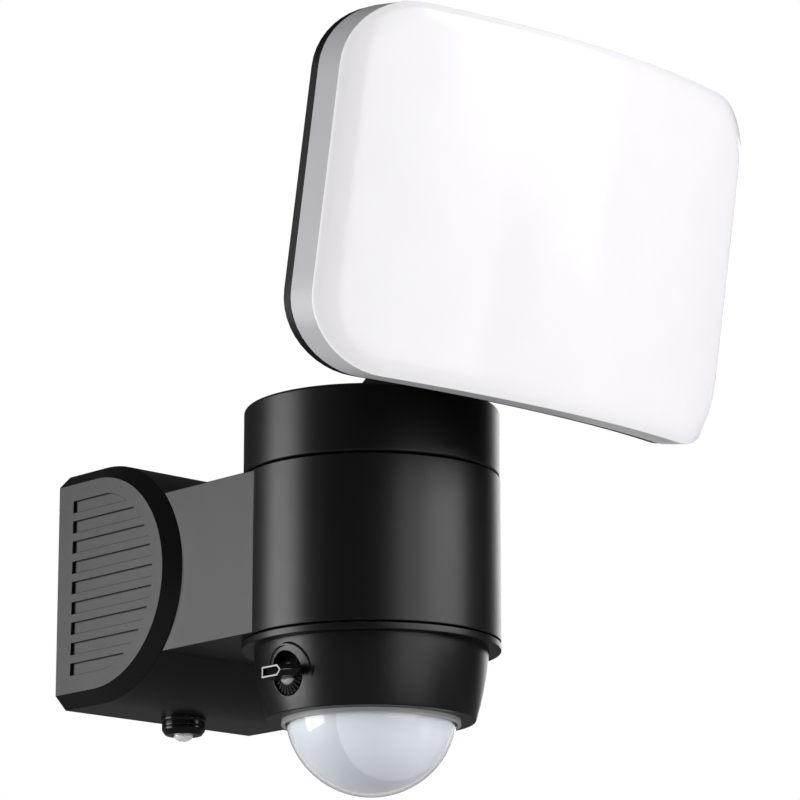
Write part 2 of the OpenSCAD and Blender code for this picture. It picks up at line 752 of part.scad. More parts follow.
module back_shell() color([0.06, 0.06, 0.06]) at_lamp() difference() {
  union() {
    bowed_slab(lamp_w - 0.6, lamp_h - 0.6, lamp_corner - 0.3, diffuser_depth, shell_back - 1.2);
    bowed_slab(lamp_w - 3, lamp_h - 3, lamp_corner - 1.5, shell_back - 1.3, shell_back);
    // cooling ribs on both sides of the rear cover
    for (s = [-1, 1], i = [0 : 4]) intersection() {
      translate([s * (50 + i * 8) - 0.9, 0, -42]) cube([1.8, 60, 84]);
      bowed_slab(lamp_w - 14, lamp_h - 14, lamp_corner - 7, shell_back - 1, shell_back + 4);
    }
    // flat seats for the screws' heads
    for (p = shell_screw_spots()) translate([p[0], screw_seat(p[0]) - 2, p[1]])
      rotate([-90, 0, 0]) cylinder(r = 3.8, h = 2);
  }
  difference() {
    bowed_slab(lamp_w - 6, lamp_h - 6, lamp_corner - 3, diffuser_depth - cut, shell_back - 2.4);
    at_shell_screws() cylinder(r = 3.4, h = 60);
  }
  at_shell_screws() cylinder(r = 1.7, h = 60);
  at_cover_screws() cylinder(r = 1.55, h = 60);
  // way for the LEDs' wires into the rear cover
  rotate([-90, 0, 0]) cylinder(r = 4, h = 60);
}

// Screw places around the back shell, as X and Z in the lamp's frame.
function shell_screw_spots() = [
  for (x = [-1, 0, 1], z = [-1, 1])
    if (x != 0 || z > 0) [x * (lamp_w / 2 - 14), z * (lamp_h / 2 - 11)]
];

// Where a back screw's head sits: level with the highest point of the bow under the head.
function screw_seat(x) = shell_back + bow_at(abs(x) + shell_head_r);

// How far the bowed surface lies behind its middle at a distance x from it.
function bow_at(x) = lamp_bow - sqrt(lamp_bow * lamp_bow - x * x);

module shell_screws() color("silver") at_lamp() for (p = shell_screw_spots())
  translate([p[0], screw_seat(p[0]) + 0.05, p[1]]) rotate([-90, 0, 0]) pan_screw(1.5, 9, shell_head_r, 1.8);

module heat_spreader() color("silver") at_lamp() difference() {
  bowed_slab(lamp_w - 10, lamp_h - 10, lamp_corner - 5, diffuser_depth, diffuser_depth + carrier_t);
  at_shell_screws() cylinder(r = 3.8, h = 60);
  rotate([-90, 0, 0]) cylinder(r = 3, h = 60);
}

// Children turned about the bow's axis to the middle of each LED board.
module on_boards() at_lamp() for (i = [0 : board_count - 1])
  translate([0, lamp_bow + diffuser_depth, 0]) rotate([0, 0, (i - (board_count - 1) / 2) * board_angle])
    translate([0, -lamp_bow, 0]) children();

module led_boards() color("white") on_boards()
  translate([-13, -board_t - board_gap, -48]) cube([26, board_t, 96]);

module led_chips() color("khaki") on_boards() for (x = [-6.5, 6.5], i = [0 : leds_per_board - 1])
  translate([x - 1.5, -board_t - board_gap - 0.75, (i - (leds_per_board - 1) / 2) * 11.5 - 1.5])
    cube([3, 0.75, 3]);

module reflector() color("white") at_lamp() difference() {
  bowed_slab(lamp_w - 10, lamp_h - 10, lamp_corner - 5, diffuser_depth - 4.2, diffuser_depth - 0.3);
  bowed_slab(lamp_w - 12, lamp_h - 12, lamp_corner - 6, diffuser_depth - 6, diffuser_depth + 2);
  at_shell_screws() cylinder(r = 3.3, h = 60);
}

module rear_cover() color([0.06, 0.06, 0.06]) at_lamp() {
  h = cover_high - cover_low;
  mid = (cover_high + cover_low) / 2;
  difference() {
    union() {
      difference() {
        translate([0, 0, mid]) lamp_prism(cover_w, h, 9, shell_back + 1, cover_back);
        translate([0, 0, mid]) lamp_prism(cover_w - 5, h - 5, 6.5, 0, cover_back - wall_t);
      }
      at_cover_screws() translate([0, 0, shell_back + 1]) cylinder(r = 4, h = cover_d - 2);
    }
    // the front rests on the bowed back shell
    difference() {
      translate([-lamp_w, -20, -lamp_h]) cube([2 * lamp_w, 80, 2 * lamp_h]);
      behind_bow(shell_back);
    }
    at_cover_screws() cylinder(r = 1.7, h = 80);
    translate([0, 0, wire_z]) rotate([-90, 0, 0]) cylinder(r = 2, h = 80);
    at_arm_screws() cylinder(r = 1.55, h = 80);
  }
}

// Children at the rear cover's screws, with +Z pointing into the lamp.
module at_cover_screws()
  for (x = [-1, 1], z = [cover_low + 7, cover_high - 7])
    translate([x * (cover_w / 2 - 7), 0, z]) rotate([-90, 0, 0]) children();

module cover_screws() color("silver") at_lamp() at_cover_screws()
  translate([0, 0, cover_back]) pan_screw(1.5, cover_d + 2.2 - bow_at(cover_w / 2 - 7), 3, 2);

module led_driver() color([0.85, 0.85, 0.8]) at_lamp()
  translate([-26, cover_back - wall_t - 16, -22]) difference() {
    cube([52, 16, 30]);
    for (x = [6, 46]) translate([x, 8, 24]) cylinder(r = 1.6, h = 10);
  }

module lamp_arm() color([0.07, 0.07, 0.07]) at_lamp() difference() {
  flange_w = 34;
  union() {
    translate([0, hinge_dy, hinge_dz]) along_x(knuckle_r, -knuckle_half, knuckle_half);
    translate([-knuckle_half, cover_back, hinge_dz - 3])
      cube([2 * knuckle_half, hinge_dy - cover_back, 3 + knuckle_r]);
    translate([0, 0, hinge_dz + 1]) lamp_prism(flange_w, 24, 5, cover_back, cover_back + 4);
    // gusset under the flange
    translate([-3, cover_back, hinge_dz - 10]) cube([6, 8, 10]);
  }
  translate([0, hinge_dy, hinge_dz]) along_x(bolt_r + running_gap, -20, 20);
  translate([0, cover_back - cut, wire_z]) rotate([-90, 0, 0]) cylinder(r = 2, h = 60);
  at_arm_screws() cylinder(r = 1.7, h = 80);
}

// Children at the screws of the arm's flange, with +Z pointing into the lamp.
module at_arm_screws()
  for (x = [-12.5, 12.5], z = [-7, 9]) translate([x, 0, hinge_dz + z]) rotate([-90, 0, 0]) children();

module lamp_arm_screws() color("silver") at_lamp() at_arm_screws()
  translate([0, 0, cover_back + 4]) pan_screw(1.5, 6.4, 2.6, 1.8);

// ---------- sensor head: turns under the body ----------

module sensor_housing() color([0.07, 0.07, 0.07]) at_axis() difference() {
  union() {
    translate([0, 0, cone_z]) cylinder(r = body_r, h = rim_h);
    bowed_cone();
  }
  // pocket for the spigot's flange
  translate([0, 0, sensor_flange_z]) cylinder(r = sensor_flange_r + fit_gap, h = 20);
  difference() {
    translate([0, 0, cone_bottom + sensor_floor])
      cylinder(r1 = cone_bottom_r - 2.2, r2 = cone_top_r - 2.6, h = cone_h - sensor_floor + 0.2);
    ring_of(2, 0) translate([0, 0, knob_z])
      along_x(knob_recess_r + 1.8, knob_floor - 1.8, body_r);
    ring_of(3, sensor_screw_x, 90) translate([0, 0, sensor_flange_z - 12]) cylinder(r = 3.4, h = 20);
  }
  translate([0, 0, cone_bottom - cut]) cylinder(r = dome_ring_r + fit_gap, h = 10);
  ring_of(3, sensor_screw_x, 90) translate([0, 0, sensor_flange_z - 9]) cylinder(r = 1.25, h = 20);
  ring_of(2, 0) translate([0, 0, knob_z]) {
    along_x(knob_recess_r, knob_floor, body_r);
    along_x(knob_shaft_r + running_gap, knob_floor - 4, knob_floor + cut);
  }
}

// Cone below the rim, whose side is an arc from the top radius to the bottom one.
module bowed_cone() {
  chord = sqrt(pow(cone_h, 2) + pow(cone_top_r - cone_bottom_r, 2));
  lean = atan2(cone_top_r - cone_bottom_r, cone_h);
  reach = sqrt(pow(cone_bow, 2) - pow(chord / 2, 2));
  mid_r = (cone_top_r + cone_bottom_r) / 2;
  mid_z = cone_z - cone_h / 2;
  rotate_extrude() intersection() {
    translate([mid_r - reach * cos(lean), mid_z + reach * sin(lean)]) circle(r = cone_bow, $fn = 720);
    translate([0, cone_bottom]) square([2 * body_r, cone_h]);
  }
}

module sensor_spigot() color("gray") at_axis() difference() {
  top_z = sensor_ring_z + hub_h + 2.6;
  union() {
    translate([0, 0, sensor_flange_z]) cylinder(r = sensor_spigot_r, h = top_z - sensor_flange_z);
    translate([0, 0, sensor_flange_z]) cylinder(r = sensor_flange_r, h = flange_t);
  }
  translate([0, 0, sensor_flange_z - cut]) cylinder(r = 18, h = 40);
  ring_of(3, sensor_screw_x, 90) translate([0, 0, sensor_flange_z]) {
    translate([0, 0, -cut]) cylinder(r = 1.4, h = flange_t + 2 * cut);
    translate([0, 0, 1.4]) cylinder(r = 2.6, h = flange_t);
  }
  translate([0, 0, sensor_ring_z + hub_h + side_gap])
    tube(sensor_spigot_r + cut, sensor_spigot_r - 1, 1.2);
}

module sensor_clip() color("silver") at_axis() translate([0, 0, sensor_ring_z + hub_h + side_gap])
  open_ring(sensor_spigot_r + 3, sensor_spigot_r - 1, 1.2, 8);

module sensor_screws() color("silver") at_axis() ring_of(3, sensor_screw_x, 90)
  translate([0, 0, sensor_flange_z + 1.4]) pan_screw(1.2, 8, 2.4, 1.4);

// The part of a ball shell that hangs below a height.
module ball_shell(r, t, z_cut) difference() {
  sphere(r = r);
  sphere(r = r - t);
  translate([-50, -50, z_cut]) cube([100, 100, 100]);
}

module dome_lens() color([0.9, 0.93, 0.96, 0.5]) at_axis() {
  translate([0, 0, dome_z]) ball_shell(dome_r, 1, -dome_inset + 0.9);
  // foot held under the sensor board
  translate([0, 0, cone_bottom + 0.4]) tube(dome_ring_r - 0.7, dome_r - 1, 1.6);
}

module dome_screen() color("white") at_axis()
  translate([0, 0, dome_z]) ball_shell(dome_r - 1.3, 0.8, -dome_inset + 1);

module dome_ring() color([0.6, 0.6, 0.62]) at_axis() translate([0, 0, cone_bottom]) difference() {
  translate([0, 0, -dome_ring_drop]) cylinder(r = dome_ring_r, h = dome_ring_drop + sensor_floor);
  translate([0, 0, -5]) cylinder(r = dome_ring_r - 1.3, h = 10);
  translate([0, 0, 0.3]) cylinder(r = dome_ring_r - 0.6, h = 10);
}

module sensor_board() color("darkgreen") at_axis()
  translate([0, 0, cone_bottom + sensor_floor]) cylinder(r = cone_bottom_r - 2.7, h = board_t + 0.6);

// Infrared elements in their cans, and the light sensor.
module infrared_sensors() color("silver") at_axis() translate([0, 0, cone_bottom + sensor_floor]) {
  for (a = [-50, 0, 50]) rotate([0, 0, a]) translate([0, -11, -4.6]) cylinder(r = 4.6, h = 4.6);
  translate([0, 8, -2.6]) cylinder(r = 2.5, h = 2.6);
}

// A pointer knob that faces +X, with its nose towards -Y.
module knob() {
  skirt_r = knob_recess_r - 0.4;
  low_x = knob_floor + side_gap;
  along_x(skirt_r - 0.6, low_x, knob_mouth - 0.9);
  // serrated edge
  rotate([0, 90, 0]) ring_of(knob_teeth, skirt_r - 0.75)
    translate([0, 0, low_x]) cylinder(r = 0.42, h = knob_mouth - 0.9 - low_x, $fn = 8);
  along_x(knob_shaft_r, pot_x - 2, knob_floor + 1);
  // light hub around the grip
  along_x(3.2, knob_mouth - 1, knob_mouth - 0.4);
  grip();
}

// Raised grip: a pointed block whose nose slopes down to the tip.
module grip() {
  // heights of the nose and of the block, above the recess's mouth
  nose_low = 1.75;
  nose_high = 3;
  half = 2.1;
  translate([knob_mouth, 0, 0]) {
    translate([-1.2, -5.2, -half]) cube([nose_low + 1.4, 10.2, 2 * half]);
    rotate([0, 90, 0]) {
      hull() {
        translate([0, 0, nose_low]) linear_extrude(height = nose_high - nose_low)
          pointed_block(half, 5.2, -8.4, -knob_reach);
        translate([0, 0, grip_h - 0.3]) linear_extrude(height = 0.3) pointed_block(half, 5, -3.2, -5.1);
      }
    }
  }
}

// Outline of a bar along Y with a pointed end.
module pointed_block(half, back, shoulder, tip)
  polygon([[-half, back], [half, back], [half, shoulder], [0, tip], [-half, shoulder]]);

module knob_right() color([0.05, 0.05, 0.05]) at_axis() translate([0, 0, knob_z]) knob();
module knob_left() color([0.05, 0.05, 0.05]) at_axis() translate([0, 0, knob_z]) mirror([1, 0, 0]) knob();

module potentiometers() color("steelblue") at_axis() ring_of(2, 0) difference() {
  board_top = cone_bottom + sensor_floor + board_t + 0.6;
  translate([pot_x - 2.2, -6, board_top]) cube([4.4, 12, knob_z + 6 - board_top]);
  translate([0, 0, knob_z]) along_x(knob_shaft_r + running_gap, pot_x - 4, pot_x + 4);
}

wall_plate();
wall_gasket();
cable_grommet();
bracket_core();
side_cap_left();
side_cap_right();
body_housing();
arm_screws();
screw_collar();
collar_seal();
thread_insert();
fixing_screw();
fixing_screw_clip();
terminal_block();
terminal_screws();
cable_clamp();
clamp_screws();
pan_bearing();
pan_washer();
sensor_bearing();
sensor_washer();
bearing_screws();
driver_board();
board_screws();
transformer();
capacitor();
cap();
pan_spigot();
pan_clip();
spigot_screws();
neck();
neck_screws();
tilt_bolt();
tilt_nut();
tilt_washers();
diffuser();
diffuser_gasket();
back_shell();
shell_screws();
heat_spreader();
led_boards();
led_chips();
reflector();
rear_cover();
cover_screws();
led_driver();
lamp_arm();
lamp_arm_screws();
sensor_housing();
sensor_spigot();
sensor_clip();
sensor_screws();
dome_lens();
dome_screen();
dome_ring();
sensor_board();
infrared_sensors();
knob_left();
knob_right();
potentiometers();
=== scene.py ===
"""Wall-mounted LED floodlight with a motion sensor: looks, light and camera."""
import json
import math

import bmesh
import bpy
from mathutils import Matrix, Vector


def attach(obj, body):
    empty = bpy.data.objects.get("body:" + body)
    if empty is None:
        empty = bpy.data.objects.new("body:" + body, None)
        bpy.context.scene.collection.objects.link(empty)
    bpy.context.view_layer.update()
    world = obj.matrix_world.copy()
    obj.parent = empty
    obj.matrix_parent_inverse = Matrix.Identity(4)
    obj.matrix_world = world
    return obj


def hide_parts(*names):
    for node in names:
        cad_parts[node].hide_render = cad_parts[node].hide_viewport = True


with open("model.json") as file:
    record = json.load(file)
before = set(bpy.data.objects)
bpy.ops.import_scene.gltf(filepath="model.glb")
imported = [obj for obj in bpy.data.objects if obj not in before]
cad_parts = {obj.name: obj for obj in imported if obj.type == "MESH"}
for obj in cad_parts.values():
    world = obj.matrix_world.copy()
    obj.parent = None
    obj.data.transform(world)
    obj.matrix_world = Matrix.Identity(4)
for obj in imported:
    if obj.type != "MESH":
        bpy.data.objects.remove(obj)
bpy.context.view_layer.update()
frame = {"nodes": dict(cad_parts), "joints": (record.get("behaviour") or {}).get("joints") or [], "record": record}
nodes = frame["nodes"]
record = frame["record"]
slot_of = {entry["node"]: entry["material_slot"] for entry in record["subparts"]}
body_of = {name: body for body, names in record["behaviour"]["bodies"].items() for name in names}
joint_place = {joint["name"]: Vector(joint["pos_m"]) for joint in frame["joints"]}
scene = bpy.context.scene

MM = 0.001

# ---------- node helpers ----------

NOISE_MIDDLE = (0.3, 0.7)  # where most of a noise texture's values lie


def rgb(value):
    """A grey level or a colour as RGBA."""
    parts = (value, value, value) if isinstance(value, (int, float)) else tuple(value)
    return (*parts, 1.0)


def new_material(name, colour, roughness, **sockets):
    """A material with a Principled shader; returns the material, its nodes and the shader."""
    material = bpy.data.materials.new(name)
    material.use_nodes = True
    tree = material.node_tree
    shader = tree.nodes["Principled BSDF"]
    shader.inputs["Base Color"].default_value = rgb(colour)
    shader.inputs["Roughness"].default_value = roughness
    for label, value in sockets.items():
        shader.inputs[label.replace("_", " ")].default_value = value
    return material, tree, shader


def noise(tree, scale, detail):
    """A noise texture in object space, with its scale per metre."""
    coords = tree.nodes.new("ShaderNodeTexCoord")
    texture = tree.nodes.new("ShaderNodeTexNoise")
    texture.inputs["Scale"].default_value = scale
    texture.inputs["Detail"].default_value = detail
    tree.links.new(coords.outputs["Object"], texture.inputs["Vector"])
    return texture.outputs["Fac"]


def spread(tree, source, low, high):
    """Stretches the middle of a noise signal to a range."""
    node = tree.nodes.new("ShaderNodeMapRange")
    node.inputs["From Min"].default_value, node.inputs["From Max"].default_value = NOISE_MIDDLE
    node.inputs["To Min"].default_value = low
    node.inputs["To Max"].default_value = high
    tree.links.new(source, node.inputs["Value"])
    return node.outputs["Result"]


def mix_colour(tree, factor, a, b):
    """Mixes two colours or grey levels; factor 0 gives the first."""
    node = tree.nodes.new("ShaderNodeMix")
    node.data_type = "RGBA"
    node.inputs["A"].default_value = rgb(a)
    node.inputs["B"].default_value = rgb(b)
    tree.links.new(factor, node.inputs["Factor"])
    return node.outputs["Result"]


def join_signals(tree, operation, one, two):
    """A clamped Math node on two signals."""
    node = tree.nodes.new("ShaderNodeMath")
    node.operation = operation
    node.use_clamp = True
    tree.links.new(one, node.inputs[0])
    tree.links.new(two, node.inputs[1])
    return node.outputs["Value"]


def add_bump(tree, shader, source, strength, depth):
    """Lets a signal raise the surface by up to depth, in metres."""
    bump = tree.nodes.new("ShaderNodeBump")
    bump.inputs["Strength"].default_value = strength
    bump.inputs["Distance"].default_value = depth
    tree.links.new(source, bump.inputs["Height"])
    tree.links.new(bump.outputs["Normal"], shader.inputs["Normal"])


# ---------- materials ----------

CLOUD_SCALE = 55        # patches of slightly different colour, per metre
GLOSS_SCALE = 140       # patches of slightly different gloss, per metre
GLOSS_SPREAD = 0.03
GRAIN_STRENGTH = 0.35
PLAIN_ROUGHNESS = 0.35  # of the inner parts
METALS = ("brushed_steel", "aluminium", "brass", "chrome")


def moulded(name, colour, roughness, grain=9000, depth=0.02 * MM, variation=0.25, **sockets):
    """Moulded plastic: fine grain, slightly uneven gloss and colour."""
    material, tree, shader = new_material(name, colour, roughness, **sockets)
    base = rgb(colour)[:3]
    lighter = [part * (1 + variation) for part in base]
    cloud = spread(tree, noise(tree, CLOUD_SCALE, 4), 0, 1)
    tree.links.new(mix_colour(tree, cloud, base, lighter), shader.inputs["Base Color"])
    low, high = roughness * (1 - GLOSS_SPREAD), roughness * (1 + GLOSS_SPREAD)
    tree.links.new(spread(tree, noise(tree, GLOSS_SCALE, 5), low, high), shader.inputs["Roughness"])
    add_bump(tree, shader, noise(tree, grain, 2), GRAIN_STRENGTH, depth)
    return material


def opal(name, colour, roughness, depth=0.004 * MM, variation=0.02):
    """The lamp's white plastic, with a very fine grain."""
    return moulded(name, colour, roughness, grain=2500, depth=depth, variation=variation)


def milky(name, colour, roughness):
    """The sensor dome's milky inner plastic."""
    return moulded(name, colour, roughness, grain=1500, depth=0.006 * MM, variation=0.04)


def clear_plastic(name):
    """Clear thin plastic that lets light through to what is behind it."""
    material, tree, shader = new_material(
        name, (0.97, 0.98, 1.0), 0.06, Transmission_Weight=1.0, IOR=1.3)
    add_bump(tree, shader, noise(tree, 400, 2), 0.1, 0.01 * MM)
    paths = tree.nodes.new("ShaderNodeLightPath")
    clear = tree.nodes.new("ShaderNodeBsdfTransparent")
    mix = tree.nodes.new("ShaderNodeMixShader")
    clear.inputs["Color"].default_value = rgb(0.95)
    tree.links.new(paths.outputs["Is Shadow Ray"], mix.inputs["Fac"])
    tree.links.new(shader.outputs["BSDF"], mix.inputs[1])
    tree.links.new(clear.outputs["BSDF"], mix.inputs[2])
    tree.links.new(mix.outputs["Shader"], tree.nodes["Material Output"].inputs["Surface"])
    return material


MATERIALS = {
    "black_housing": moulded("black_housing", 0.003, 0.34),
    "black_cap": moulded("black_cap", 0.003, 0.34),
    "black_shell": moulded("black_shell", 0.003, 0.5, Specular_IOR_Level=0.25),
    "black_gloss": moulded("black_gloss", 0.003, 0.2, grain=3000, depth=0.01 * MM),
    "gasket_rubber": moulded("gasket_rubber", 0.004, 0.8, variation=0.1, Specular_IOR_Level=0.1),
    "opal_diffuser": opal("opal_diffuser", (0.86, 0.845, 0.885), 0.12),
    # the face's opal again, greyed as painted shade for the side wall and lightened as a painted highlight for the
    # front edge
    "opal_side": opal("opal_side", (0.45, 0.45, 0.475), 0.3),
    "opal_edge": opal("opal_edge", (0.94, 0.93, 0.96), 0.12, depth=0.002 * MM, variation=0.01),
    # lighter than the milky dome: a painted reflection of the front light on the lens zone
    "lens_zone": milky("lens_zone", (0.66, 0.683, 0.715), 0.2),
    "milky_dome": milky("milky_dome", (0.54, 0.563, 0.595), 0.3),
    "clear_dome": clear_plastic("clear_dome"),
    # the hub's light grey, and also a painted highlight on the grip's ridge line
    "grey_ring": moulded("grey_ring", (0.33, 0.335, 0.34), 0.3, variation=0.05),
    # painted highlight on the raised rim of the knob's grip
    "light_rim": moulded("light_rim", (0.42, 0.42, 0.42), 0.3, variation=0.05),
    # painted highlight on the lit flank of each knob tooth
    "knob_ridge": moulded("knob_ridge", 0.04, 0.3, variation=0.1),
    "bright_zinc": moulded("bright_zinc", 0.92, 0.25, grain=3000, variation=0.02, Metallic=0.35),
}
# every slot of the record that has no finish of its own above
for slot in record["materials"]:
    if slot["slot"] not in MATERIALS:
        MATERIALS[slot["slot"]] = moulded(
            slot["slot"], slot["base_color"][:3], PLAIN_ROUGHNESS,
            Metallic=1.0 if slot["class"] in METALS else 0.0)
for name, obj in nodes.items():
    obj.data.materials.clear()
    obj.data.materials.append(MATERIALS[slot_of[name]])
nodes["fixing_screw"].data.materials[0] = MATERIALS["bright_zinc"]

# ---------- shapes ----------


def piece(name, shape, body, slot_name, sharp=50):
    """Makes an object from a bmesh, smooth below the sharp angle, and lets it ride on a body."""
    bmesh.ops.remove_doubles(shape, verts=shape.verts, dist=0.002 * MM)
    bmesh.ops.recalc_face_normals(shape, faces=shape.faces)
    limit = math.radians(sharp)
    for face in shape.faces:
        face.smooth = True
    for edge in shape.edges:
        edge.smooth = len(edge.link_faces) == 2 and edge.calc_face_angle(0) < limit
    mesh = bpy.data.meshes.new(name)
    shape.to_mesh(mesh)
    shape.free()
    obj = bpy.data.objects.new(name, mesh)
    scene.collection.objects.link(obj)
    obj.data.materials.append(MATERIALS[slot_name])
    weighted = obj.modifiers.new("weighted_normals", "WEIGHTED_NORMAL")
    weighted.keep_sharp = True
    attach(obj, body)
    return obj


def loft(shape, loops, closed=False):
    """Joins loops of equally many points with quads, and caps the two ends unless it is closed."""
    rings = [[shape.verts.new(point) for point in loop] for loop in loops]
    pairs = list(zip(rings, rings[1:])) + ([(rings[-1], rings[0])] if closed else [])
    count = len(rings[0])
    for one, two in pairs:
        for i in range(count):
            j = (i + 1) % count
            shape.faces.new((one[i], one[j], two[j], two[i]))
    if not closed:
        shape.faces.new(rings[0])
        shape.faces.new(rings[-1])


def turn_steps(count):
    """Angles of a full turn in equal steps, as radians, without the last one."""
    return [2 * math.pi * i / count for i in range(count)]


def arc_steps(start, end, count):
    """Angles from start to end, in degrees, as radians."""
    return [math.radians(start + (end - start) * i / count) for i in range(count + 1)]


def lathe(shape, profile, centre, segments):
    """Turns a closed (radius, height) outline round the vertical axis through centre."""
    centre = Vector(centre)
    loft(shape, [
        [centre + Vector((r * math.cos(turn), r * math.sin(turn), h)) for r, h in profile]
        for turn in turn_steps(segments)
    ], closed=True)


def fillet(corners, radii, steps):
    """An open outline whose inner corners are rounded with the given radii."""
    points = [Vector(corners[0])]
    for before, corner, after, radius in zip(corners, corners[1:], corners[2:], radii):
        before, corner, after = Vector(before), Vector(corner), Vector(after)
        one, two = (before - corner).normalized(), (after - corner).normalized()
        angle = one.angle(two)
        if radius <= 0 or angle > math.pi - 0.01:
            points.append(corner)
            continue
        reach = radius / math.tan(angle / 2)
        centre = corner + (one + two).normalized() * (radius / math.sin(angle / 2))
        start, end = corner + one * reach - centre, corner + two * reach - centre
        points += [centre + start.slerp(end, i / steps) for i in range(steps + 1)]
    points.append(Vector(corners[-1]))
    return points


def rounded_rect(half_w, half_h, radius, steps=12, along_w=28, along_h=16):
    """A rectangle with rounded corners as (x, z) points; its straight sides are in equal parts."""
    points = []
    signs = ((1, 1), (-1, 1), (-1, -1), (1, -1))
    for index, (sx, sz) in enumerate(signs):
        middle = Vector((sx * (half_w - radius), sz * (half_h - radius)))
        for i in range(steps + 1):
            turn = math.pi / 2 * (index + i / steps)
            points.append(middle + radius * Vector((math.cos(turn), math.sin(turn))))
        nx, nz = signs[(index + 1) % 4]
        turn = math.pi / 2 * (index + 1)
        goal = Vector((nx * (half_w - radius), nz * (half_h - radius)))
        goal += radius * Vector((math.cos(turn), math.sin(turn)))
        start, parts = points[-1], along_w if index % 2 == 0 else along_h
        points += [start.lerp(goal, i / parts) for i in range(1, parts)]
    return points


# ---------- rounded copies of moulded and machined parts ----------

FLAT_ANGLE = math.radians(0.4)    # faces that turn less than this are one face
EDGE_ANGLE = math.radians(25)     # edges that turn more than this are rounded
WALL_EDGE = 0.6 * MM              # edges closer to the wall than this stay crisp
ROUNDING = {                      # radius in mm
    "body_housing": 0.4, "cap": 1.0, "sensor_housing": 0.35, "side_cap_left": 0.18,
    "side_cap_right": 0.18, "neck": 0.5, "lamp_arm": 0.5, "dome_ring": 0.2, "wall_plate": 0.3,
    "bracket_core": 0.3,
}


def is_outer_edge(edge):
    """Says whether an edge is a sharp outside edge that doesn't lie on the wall."""
    return (
        len(edge.link_faces) == 2 and edge.is_convex and edge.calc_face_angle(0) > EDGE_ANGLE
        and (edge.verts[0].co.y + edge.verts[1].co.y) / 2 < -WALL_EDGE
    )


def refined(node, width):
    """A copy of a CAD part whose outside edges are rounded."""
    shape = bmesh.new()
    shape.from_mesh(nodes[node].data)
    bmesh.ops.remove_doubles(shape, verts=shape.verts, dist=0.001 * MM)
    bmesh.ops.dissolve_limit(
        shape, angle_limit=FLAT_ANGLE, use_dissolve_boundaries=False,
        verts=shape.verts, edges=shape.edges, delimit=set(),
    )
    edges = [edge for edge in shape.edges if is_outer_edge(edge)]
    bmesh.ops.bevel(
        shape, geom=edges, offset=width, offset_type="OFFSET", segments=3, profile=0.5,
        affect="EDGES", clamp_overlap=False, miter_outer="ARC",
    )
    copy = piece(node + "_finished", shape, body_of[node], slot_of[node], sharp=32)
    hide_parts(node)


for name, width in ROUNDING.items():
    refined(name, width * MM)

# ---------- lamp head ----------
# Built upright in its own frame, with y as the depth behind the front, then leaned into place.

LAMP_W = 190 * MM
LAMP_H = 124 * MM
LAMP_CORNER = 25 * MM
LAMP_BOW = 225 * MM
DIFFUSER_DEPTH = 11.4 * MM
SHELL_BACK = 16.2 * MM
FACE_BULGE = 2.2 * MM
SLOPE_W = 9 * MM
LAMP_TILT = math.radians(10)
HINGE_FROM_FACE = Vector((0, 81.38, -36.59)) * MM
SHRINK = (0.96, 0.88, 0.76, 0.6, 0.44, 0.28, 0.14, 0.03)  # loops that close a face to its middle
lamp_turn = Matrix.Rotation(LAMP_TILT, 4, "X")
lamp_frame = Matrix.Translation(joint_place["lamp_tilt"] - lamp_turn @ HINGE_FROM_FACE) @ lamp_turn


def bow_at(x):
    """How far the bowed lamp lies behind its middle at x."""
    return LAMP_BOW - math.sqrt(LAMP_BOW ** 2 - x ** 2)


def lamp_loop(half_w, half_h, corner, depth, scale=1, middle_z=0, bowed=True):
    """One loop of a lamp shell at a depth; scale shrinks it towards its middle."""
    loop = []
    for x, z in rounded_rect(half_w, half_h, corner):
        x, z = x * scale, z * scale + middle_z
        loop.append(lamp_frame @ Vector((x, depth + (bow_at(x) if bowed else 0), z)))
    return loop


def inset_loop(inset, depth, scale=1):
    """The lamp's outline, drawn smaller by inset."""
    return lamp_loop(LAMP_W / 2 - inset, LAMP_H / 2 - inset, LAMP_CORNER - inset, depth, scale)


def make_diffuser():
    """Opal front: side wall, crisp front edge, soft slope and bowed face, hollow behind."""
    edge, wall, front, rim, soft = 0.7 * MM, 2.2 * MM, 1.4 * MM, 0.15 * MM, 2 * MM
    # from the middle of the inside out to the rear rim, and forward along the side wall
    loops = [inset_loop(SLOPE_W, front, k) for k in reversed(SHRINK)]
    loops += [
        inset_loop(SLOPE_W, front), inset_loop(wall + soft, front), inset_loop(wall, front + soft),
        inset_loop(wall, DIFFUSER_DEPTH), inset_loop(rim, DIFFUSER_DEPTH),
        inset_loop(0, DIFFUSER_DEPTH - rim), inset_loop(0, DIFFUSER_DEPTH / 2),
    ]
    # the front edge, then the slope and the face
    slope_angle = math.atan2(2 * FACE_BULGE, SLOPE_W)
    for turn in arc_steps(0, 90 - math.degrees(slope_angle), 5):
        depth = edge * (1 - math.sin(turn)) - 0.1 * MM
        loops.append(inset_loop(edge * (1 - math.cos(turn)), depth))
    slope_start, slope_steps = 0.9 * MM, 10
    for i in range(1, slope_steps + 1):
        inset = slope_start + (SLOPE_W - slope_start) * i / slope_steps
        loops.append(inset_loop(inset, -FACE_BULGE * (1 - (1 - inset / SLOPE_W) ** 2)))
    loops += [inset_loop(SLOPE_W, -FACE_BULGE, k) for k in SHRINK]
    shape = bmesh.new()
    loft(shape, loops)
    front_piece = piece("opal_front", shape, "lamp", "opal_diffuser")
    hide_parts("diffuser")

    # painted shade and highlight: the side wall is painted greyer than the face, and the edge between them is
    # painted lighter as a highlight
    front_piece.data.materials.append(MATERIALS["opal_side"])
    front_piece.data.materials.append(MATERIALS["opal_edge"])
    side_from, edge_from = 0.55 * MM, -0.35 * MM
    to_lamp = lamp_frame.inverted()
    for face in front_piece.data.polygons:
        local = to_lamp @ face.center
        behind = local.y - bow_at(local.x)
        if behind > side_from:
            face.material_index = 1
        elif behind > edge_from:
            face.material_index = 2


